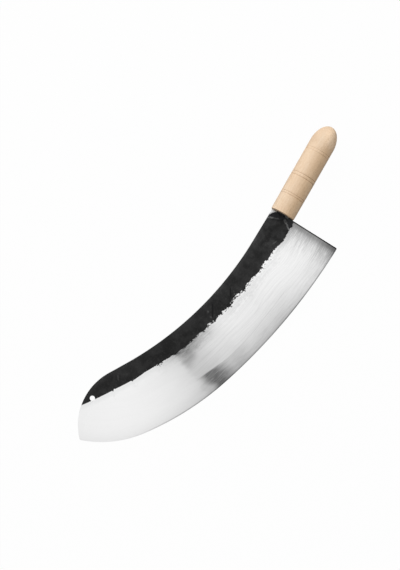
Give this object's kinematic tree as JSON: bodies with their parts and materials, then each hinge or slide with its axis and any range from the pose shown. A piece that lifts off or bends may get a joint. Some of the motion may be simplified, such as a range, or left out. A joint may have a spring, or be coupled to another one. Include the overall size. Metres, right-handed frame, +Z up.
{
  "type": "mincing knife",
  "caption": "Long curved mincing knife: a forged blade with a black spine and a ground bevel, a hang hole near the tip and a turned wooden handle on a hidden tang.",
  "frame": {"origin": "middle of the footprint, on the table that the knife lies on", "axes": "+X along the handle towards the butt, +Y towards the spine, +Z up from the table and out of the blade's upper face, which leans about 5 degrees because the handle is thicker than the blade"},
  "size_m": [0.5324, 0.1958, 0.04],
  "materials": {
    "blade_steel": "ground bright along the edge, with black forge scale left along the spine",
    "handle_wood": "pale turned wood, sanded, with fine turned grooves",
    "bedding_compound": "black compound, set hard with a gloss"
  },
  "bodies": {
    "root": {"blade": "blade_steel", "handle": "handle_wood", "tang_bedding": "bedding_compound"}
  },
  "joints": []
}
